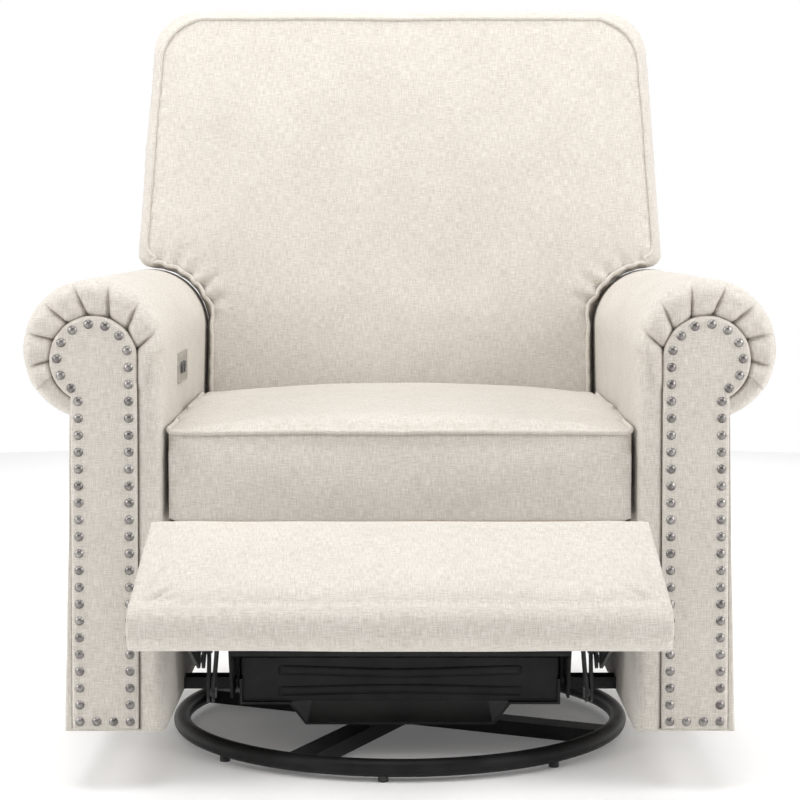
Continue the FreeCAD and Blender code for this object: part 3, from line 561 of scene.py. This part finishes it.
back_base = back_lo.z + 0.004
back_face = back_outline(BOXING_ROLL, back_base, 1.0)
back = loft(
    "back_cushion_cover",
    [back_point(x, z, 0.012) for x, z in back_face],
    [back_point(x, z, 0.045) for x, z in back_outline(-BOXING_SWELL, back_base, 1.0)],
    [back_point(x, z, BACK_DEPTH) for x, z in back_outline(0.002, back_base, 0.6)],
)
face_seam = [back_point(x, z, 0.013) for x, z in resample(back_face, 0.008, closed=True)]


def back_held(co):
    hold = (gap_to_path(co, face_seam, 0.02) < 0.0065).astype(float)
    hold[back_depth(co) > 0.050] = 1
    return hold


inflate(back, voxel=0.0065, pressure=4.0, cap=0.024, held=back_held)
ripple(back, depth=0.0016, scale=7.0, seed=2)
pucker(back, face_seam, depth=0.0006, pitch=0.030, reach=0.022)
for side in (1, -1):
    for angle, length in EAR_FOLDS:
        turn = math.radians(angle)
        root = (side * FOLD_ROOT[0], FOLD_ROOT[1])
        tip = (root[0] + side * length * math.cos(turn), root[1] + length * math.sin(turn))
        crease(back, root, tip, *FOLD_SIZE)
    for angle, length in EAR_GATHERS:
        turn = math.radians(angle)
        ends = [ROLL[0] - BACK_NARROW + BOXING_ROLL + reach for reach in (0.0, length)]
        root, tip = [(side * (ROLL[0] + r * math.cos(turn)), ROLL[1] + r * math.sin(turn)) for r in ends]
        crease(back, root, tip, *GATHER_SIZE)
finish_piece(back, "back", ["back_cushion", "back_frame"])
welt("back_front_welt", snap(face_seam, tree_of(back), lift=0.0015), "back", closed=True)

shell_outline = resample(back_outline(0.006, shell_lo.z + 0.002), 0.02, closed=True)
shell = prism_from(
    "back_outside_cover",
    shell_outline,
    lambda p: back_point(p[0], p[1], BACK_DEPTH - 0.002),
    lambda p: back_point(p[0], p[1], BACK_DEPTH + 0.010),
)
rear_outline = resample(back_outline(0.003, shell_lo.z + 0.003), 0.012, closed=True)
rear_seam = [back_point(x, z, BACK_DEPTH) for x, z in rear_outline]


def shell_held(co):
    return (back_depth(co) < BACK_DEPTH + 0.004).astype(float)


inflate(shell, voxel=0.0065, pressure=2.0, cap=0.008, held=shell_held)
ripple(shell, depth=0.0012, scale=6.0, seed=3)
finish_piece(shell, "back", ["back_shell"])
welt("back_rear_welt", rear_seam, "back", closed=True)

# ---------------------------------------------------------------- arms

panel_lo, panel_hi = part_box("arm_panel_left")
WAIST_X = arm_lo.x + 0.120
FOOT_X = arm_lo.x + 0.131
LOBE_RADIUS = (panel_hi.x - panel_lo.x) / 2
LOBE = (panel_lo.x + LOBE_RADIUS, panel_hi.z - LOBE_RADIUS)
PANEL_OUTER = panel_hi.x - 0.027
BAND_DEPTH = 0.026
BAND_FRONT = 0.0095  # how far the band stands in front of the padding's CAD face
BAND_DIP = 0.0095  # how far it dips again where it meets the panel
TURN_SHARE = 0.45  # share of the band's width taken by its turn from side to front
PLEAT_DEPTH, PILLOW_SWELL = 0.0052, 0.0008
PLEAT_FIRST, PLEAT_STEP, PLEAT_COUNT = 14, 29.5, 7  # degrees, from the side towards the seat, over the top


def arm_path(inner_x, centre, radius, waist_x, foot_x, foot_z, counts):
    """Outline of the arm's front, from the inner foot up, over the roll and down to the outer foot, then back
    along the bottom. counts gives the points on each stretch."""
    waist_turn = -math.degrees(math.acos((waist_x - centre[0]) / radius))
    waist_z = centre[1] + radius * math.sin(math.radians(waist_turn))
    stretches = [
        np.linspace((inner_x, foot_z), (inner_x, centre[1]), counts[0] + 1)[:-1],
        np.array(arc(centre, radius, 180, waist_turn, counts[1]))[:-1],
        np.linspace((waist_x, waist_z), (foot_x, foot_z), counts[2] + 1)[:-1],
        np.linspace((foot_x, foot_z), (inner_x, foot_z), counts[3] + 1)[:-1],
    ]
    return np.concatenate(stretches)


ARM_COUNTS = (48, 380, 40, 14)
outer_path = arm_path(arm_lo.x, ROLL, ROLL_RADIUS, WAIST_X, FOOT_X, arm_lo.z, ARM_COUNTS)
inner_path = arm_path(panel_lo.x, LOBE, LOBE_RADIUS, PANEL_OUTER, PANEL_OUTER, panel_lo.z, ARM_COUNTS)
ROLL_SWEEP = 180 + math.degrees(math.acos((WAIST_X - ROLL[0]) / ROLL_RADIUS))


def roll_angle():
    """Degrees round the roll for each outline point, from the seat side; off the roll, below 0 or past the
    sweep."""
    return (np.arange(len(outer_path)) - ARM_COUNTS[0]) * ROLL_SWEEP / ARM_COUNTS[1]


def pleats(lean):
    """Depth of the creases (0..1) and fullness of the pillows between them, round the outline. lean turns the
    creases a little on their way outwards."""
    angle = roll_angle() + lean
    groove, pillow = np.zeros(len(angle)), np.zeros(len(angle))
    for step in range(PLEAT_COUNT):
        away = angle - (PLEAT_FIRST + PLEAT_STEP * step)
        width = np.where(away < 0, 1.0, 2.4)
        groove = np.maximum(groove, np.exp(-np.abs(away / width) ** 1.5))
    between = (angle - PLEAT_FIRST) / PLEAT_STEP
    inside = (between > -0.6) & (between < PLEAT_COUNT - 0.3)
    pillow = np.where(inside, np.abs(np.sin(math.pi * between)) ** 0.6, 0.5)
    return groove, pillow


def off_the_seat(co):
    """0 on the arm's seat side, rising to 1 over the roll."""
    return np.clip((np.abs(co[:, 0]) - arm_lo.x) / 0.05, 0, 1)


def build_arm(name, side):
    """Cover of the arm's padding: a rounded rear end, the straight roll, and the pleated band that turns in
    to the panel."""
    rear_y, start = arm_hi.y, arm_lo.y + BAND_DEPTH
    centre = np.array(ROLL)
    radial = outer_path - centre
    radial = radial / np.maximum(np.linalg.norm(radial, axis=1), 1e-6)[:, None]
    on_roll = (roll_angle() >= -2) & (roll_angle() <= ROLL_SWEEP)
    rings = []
    for turn in np.linspace(0, math.pi / 2, 4):
        shrink = 1 - 0.16 * (1 - math.sin(turn))
        ring = centre + (outer_path - centre) * shrink
        rings.append((ring, np.full(len(ring), rear_y - 0.016 * (1 - math.cos(turn)))))
    _, pillow = pleats(0)
    stations = [np.linspace(rear_y - 0.03, start + 0.09, 16), np.linspace(start + 0.08, start, 12)]
    for y in np.concatenate(stations):
        fade = max(0.0, 1 - (y - start) / 0.075) ** 1.5
        swell = np.where(on_roll, PILLOW_SWELL * pillow, 0) * fade
        rings.append((outer_path + radial * swell[:, None], np.full(len(outer_path), y)))
    across = inner_path - outer_path
    width = np.linalg.norm(across, axis=1)
    plump = np.clip(width / 0.033, 0.1, 1)
    for share in np.linspace(0, 1, 19)[1:]:
        turn = math.pi / 2 * min(1.0, share / TURN_SHARE)
        reach = 0.42 * (1 - math.cos(turn)) + 0.575 * max(0.0, (share - TURN_SHARE) / (1 - TURN_SHARE))
        groove, pillow = pleats(-5 * (1 - share))
        dip = max(0.0, (share - 0.82) / 0.18) ** 2
        grow = min(1.0, max(0.0, (share - 0.22) / 0.45))
        deep = np.where(on_roll, groove * PLEAT_DEPTH * grow, 0)
        full = np.where(on_roll, pillow, 0.6) * plump
        forward = BAND_DEPTH * math.sin(turn) + BAND_FRONT * math.sin(turn) * full
        forward = forward - deep - BAND_DIP * dip * plump
        swell = np.where(on_roll, PILLOW_SWELL * pillow, 0) * (1 - share)
        ring = outer_path + across * reach + radial * swell[:, None]
        rings.append((ring, start - forward))
    piece = loft(name, *[[(side * x, y, z) for (x, z), y in zip(ring, depths)] for ring, depths in rings])
    ripple(piece, depth=0.0011, scale=9.0, seed=5 + side, where=off_the_seat)
    return piece


PANEL_RINGS = [  # distance in from the seam, distance behind the face
    (-0.0006, 0.012),
    (-0.0004, 0.0045),
    (0.0006, 0.0016),
    (0.0026, 0.0003),
    (0.0060, 0.0),
    (0.0180, 0.0),
    (0.0300, -0.0008),
]


def build_panel(name, side):
    """Keyhole panel: its edge rolls over at the seam, and it lies flat under the nails."""
    low, high = panel_lo.z + 0.03, LOBE[1]
    spine_x = np.clip(inner_path[:, 0], LOBE[0] - 0.016, LOBE[0] - 0.010)
    spine = np.stack([spine_x, np.clip(inner_path[:, 1], low, high)], axis=1)
    inward = spine - inner_path
    reach = np.linalg.norm(inward, axis=1)
    inward = inward / reach[:, None]
    rings = []
    for inset, depth in PANEL_RINGS:
        step = np.minimum(inset, reach * 0.9)
        ring = inner_path + inward * step[:, None]
        rings.append([(side * x, panel_lo.y + depth, z) for x, z in ring])
    return loft(name, *rings)


for word, side in (("left", 1), ("right", -1)):
    arm = build_arm("arm_cover_" + word, side)
    finish_piece(arm, "chair", ["arm_padding_" + word])
    panel = build_panel("arm_panel_cover_" + word, side)
    finish_piece(panel, "chair", ["arm_panel_" + word])

# ---------------------------------------------------------------- footrest

pad_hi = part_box("footrest_pad")[1]
PAD_LENGTH, PAD_THICKNESS = 0.268, 0.048
pad_rear = (pad_hi.y - PAD_THICKNESS * FOOTREST_SIN, pad_hi.z + 0.0015)


def pad_point(x, along, down):
    """Point of the footrest: along runs forwards from its rear top edge, down goes into it."""
    y = pad_rear[0] - along * FOOTREST_COS + down * FOOTREST_SIN
    return (x, y, pad_rear[1] - along * FOOTREST_SIN - down * FOOTREST_COS)


def pad_nose(along, down, radius):
    """Half round of the front edge, from the top of the pad to its underside."""
    turns = np.linspace(0.15, math.pi - 0.05, 9)
    return [(along + radius * math.sin(t), down - radius * math.cos(t)) for t in turns]


pad_half = pad_hi.x + 0.0005
pad_bottom = PAD_THICKNESS + 0.0135
nose = pad_bottom / 2
pad_outline = [(0.003, 0.001), (PAD_LENGTH - 0.060, 0.004)]
pad_outline += pad_nose(PAD_LENGTH - 0.001 - nose, nose, nose - 0.003)
pad_outline += [(0.003, pad_bottom)]
foot = prism_from(
    "footrest_cover",
    pad_outline,
    lambda p: pad_point(-pad_half, p[0], p[1]),
    lambda p: pad_point(pad_half, p[0], p[1]),
)


def foot_held(co):
    """Held on the underside and along the rear edge."""
    behind, above = co[:, 1] - pad_rear[0], co[:, 2] - pad_rear[1]
    along = -behind * FOOTREST_COS - above * FOOTREST_SIN
    down = behind * FOOTREST_SIN - above * FOOTREST_COS
    return ((down > PAD_THICKNESS) | (along < 0.011)).astype(float)


def foot_ease(co):
    return np.where(np.abs(co[:, 0]) > pad_half - 0.003, 0.2, 1.0)


inflate(foot, voxel=0.005, pressure=3.0, cap=0.012, held=foot_held, ease=foot_ease)
ripple(foot, depth=0.0012, scale=8.0, seed=8)
finish_piece(foot, "footrest", ["footrest_pad", "footrest_board"])

# ---------------------------------------------------------------- rear panel and dust cover


def rectangle(across, along):
    return [(across[0], along[0]), (across[1], along[0]), (across[1], along[1]), (across[0], along[1])]


def rear_held(co):
    return (co[:, 1] < rear_hi.y - 0.006).astype(float)


def deck_held(co):
    return (co[:, 2] > deck_lo.z + 0.004).astype(float)


rear_lo, rear_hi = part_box("rear_panel")
rear = prism_from(
    "rear_panel_cover",
    rectangle((rear_lo.x + 0.001, rear_hi.x - 0.001), (rear_lo.z, rear_hi.z)),
    lambda p: (p[0], rear_lo.y + 0.003, p[1]),
    lambda p: (p[0], rear_hi.y - 0.002, p[1]),
)
inflate(rear, voxel=0.0065, pressure=1.5, cap=0.003, held=rear_held)
finish_piece(rear, "chair", ["rear_panel"])

deck_lo, deck_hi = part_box("seat_deck")
deck = prism_from(
    "seat_dust_cover",
    rectangle((deck_lo.x, deck_hi.x), (deck_lo.y, deck_hi.y)),
    lambda p: (p[0], p[1], deck_lo.z),
    lambda p: (p[0], p[1], deck_hi.z - 0.001),
)
inflate(deck, voxel=0.0085, pressure=0.5, cap=0.002, held=deck_held)
finish_piece(deck, "chair", ["seat_deck"], material=black_cloth)

# ---------------------------------------------------------------- ribs and bolts of the front channel

channel_lo, channel_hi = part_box("glide_cross_channels")
PRESSED_STEEL = CAD_LOOKS["mechanism_steel"]
RIB_HALF, RIB_RISE, RIB_WIDTH = 0.170, 0.0022, 0.007
BOLT_PITCH, BOLT_COUNT, NUT_RADIUS, NUT_HEIGHT = 0.088, 5, 0.0065, 0.005
BOLT_RINGS = [  # radius, height above the channel: a chamfered nut, then the bolt's end
    (NUT_RADIUS, 0.0),
    (NUT_RADIUS, NUT_HEIGHT * 0.85),
    (NUT_RADIUS * 0.86, NUT_HEIGHT),
    (NUT_RADIUS * 0.5, NUT_HEIGHT),
    (NUT_RADIUS * 0.5, NUT_HEIGHT + 0.0035),
    (NUT_RADIUS * 0.38, NUT_HEIGHT + 0.0045),
]


def channel_rib(name, height, bow):
    """Pressed rib along the channel's front face, with run-out ends; bow lifts its middle."""
    rings = []
    for place in np.linspace(-1, 1, 41):
        x = place * RIB_HALF
        rise = RIB_RISE * min(1.0, (1 - abs(place)) / 0.08)
        middle = height + bow * math.cos(place * math.pi / 2) ** 2
        ring = []
        for turn in np.linspace(0, math.pi, 7):
            y = channel_lo.y - rise * math.sin(turn) + 0.0003
            ring.append((x, y, middle - RIB_WIDTH * math.cos(turn)))
        rings.append(ring + [(x, channel_lo.y + 0.001, middle)])
    finish_piece(loft(name, *rings), "glide_frame", material=PRESSED_STEEL)


channel_rib("channel_rib_upper", channel_hi.z - 0.017, -0.004)
channel_rib("channel_rib_lower", channel_lo.z + 0.014, 0.003)

bolt_vertices, bolt_faces = [], []
for step in range(BOLT_COUNT):
    x = (step - (BOLT_COUNT - 1) / 2) * BOLT_PITCH
    base = len(bolt_vertices)
    for radius, lift in BOLT_RINGS:
        for corner in range(6):
            turn = math.radians(60 * corner + 12 * step)
            y = channel_lo.y + 0.011 + radius * math.sin(turn)
            bolt_vertices.append((x + radius * math.cos(turn), y, channel_hi.z + lift))
    for ring in range(len(BOLT_RINGS) - 1):
        low, high = base + ring * 6, base + ring * 6 + 6
        bolt_faces += [(low + i, low + (i + 1) % 6, high + (i + 1) % 6, high + i) for i in range(6)]
    bolt_faces.append(tuple(range(base, base + 6)))
    bolt_faces.append(tuple(range(len(bolt_vertices) - 6, len(bolt_vertices))))
bolts = make_object("channel_bolts", bolt_vertices, bolt_faces)
finish_piece(bolts, "glide_frame", material=PRESSED_STEEL)
bolts.data.polygons.foreach_set("use_smooth", [False] * len(bolts.data.polygons))

# ---------------------------------------------------------------- stage, light and camera

FLOOR_RADIUS, FLOOR_SIDES = 4.0, 96
SKY_BAND, SKY_FADE, SKY_DIM = 0.13, 0.12, 0.25
CAMERA_PITCH = math.radians(2.4)
floor_mesh = bpy.data.meshes.new("floor")
floor_rim = [(x, y, 0) for x, y in arc((0, 0), FLOOR_RADIUS, 0, 360, FLOOR_SIDES)[:-1]]
floor_mesh.from_pydata(floor_rim, [], [tuple(range(FLOOR_SIDES))])
floor = bpy.data.objects.new("floor", floor_mesh)
scene.collection.objects.link(floor)
floor_material, _, _, floor_shader = new_material("pale_floor")
floor_shader.inputs["Base Color"].default_value = (0.93, 0.93, 0.93, 1)
floor_shader.inputs["Roughness"].default_value = 0.9
floor_shader.inputs["Specular IOR Level"].default_value = 0.1
floor_shader.inputs["Emission Color"].default_value = (1, 1, 1, 1)
floor_shader.inputs["Emission Strength"].default_value = 0.10
floor_mesh.materials.append(floor_material)

# The studio is white to a little above the horizon, and dimmer overhead.
world = bpy.data.worlds.new("studio")
world.use_nodes = True
sky_nodes, sky_links = world.node_tree.nodes, world.node_tree.links
direction = sky_nodes.new("ShaderNodeTexCoord").outputs["Generated"]
height = sky_nodes.new("ShaderNodeSeparateXYZ")
sky_links.new(direction, height.inputs[0])
dim = (SKY_DIM, SKY_DIM, SKY_DIM)
sky = ramp(sky_nodes, sky_links, height.outputs["Z"], [(SKY_BAND, (1, 1, 1)), (SKY_BAND + SKY_FADE, dim)])
sky_links.new(sky, sky_nodes["Background"].inputs["Color"])
scene.world = world
scene.view_settings.view_transform = "Standard"


def softbox(name, place, aim, width, height, power):
    data = bpy.data.lights.new(name, "AREA")
    data.shape = "RECTANGLE"
    data.size, data.size_y = width, height
    data.energy = power
    lamp = bpy.data.objects.new(name, data)
    scene.collection.objects.link(lamp)
    lamp.location = place
    lamp.rotation_euler = (Vector(aim) - Vector(place)).to_track_quat("-Z", "Y").to_euler()


softbox("top_softbox", (-0.3, -0.3, 3.4), (0, -0.1, 0.5), 3.0, 3.0, 90)
softbox("left_softbox", (-3.1, -1.2, 1.9), (0.2, 0, 0.5), 2.0, 2.0, 59)
softbox("right_softbox", (3.1, -1.2, 1.9), (-0.2, 0, 0.5), 2.0, 2.0, 71)
softbox("rear_softbox", (0.3, 3.2, 3.0), (0, 2.5, 0.0), 4.0, 2.0, 60)

camera_data = bpy.data.cameras.new("camera")
camera_data.lens = 96.1
camera_data.sensor_width = 36
camera_data.shift_y = -0.1046
camera = bpy.data.objects.new("camera", camera_data)
scene.collection.objects.link(camera)
camera.location = (0, -3.1095, 0.7317)
camera.rotation_euler = (math.pi / 2 - CAMERA_PITCH, 0, 0)
scene.camera = camera
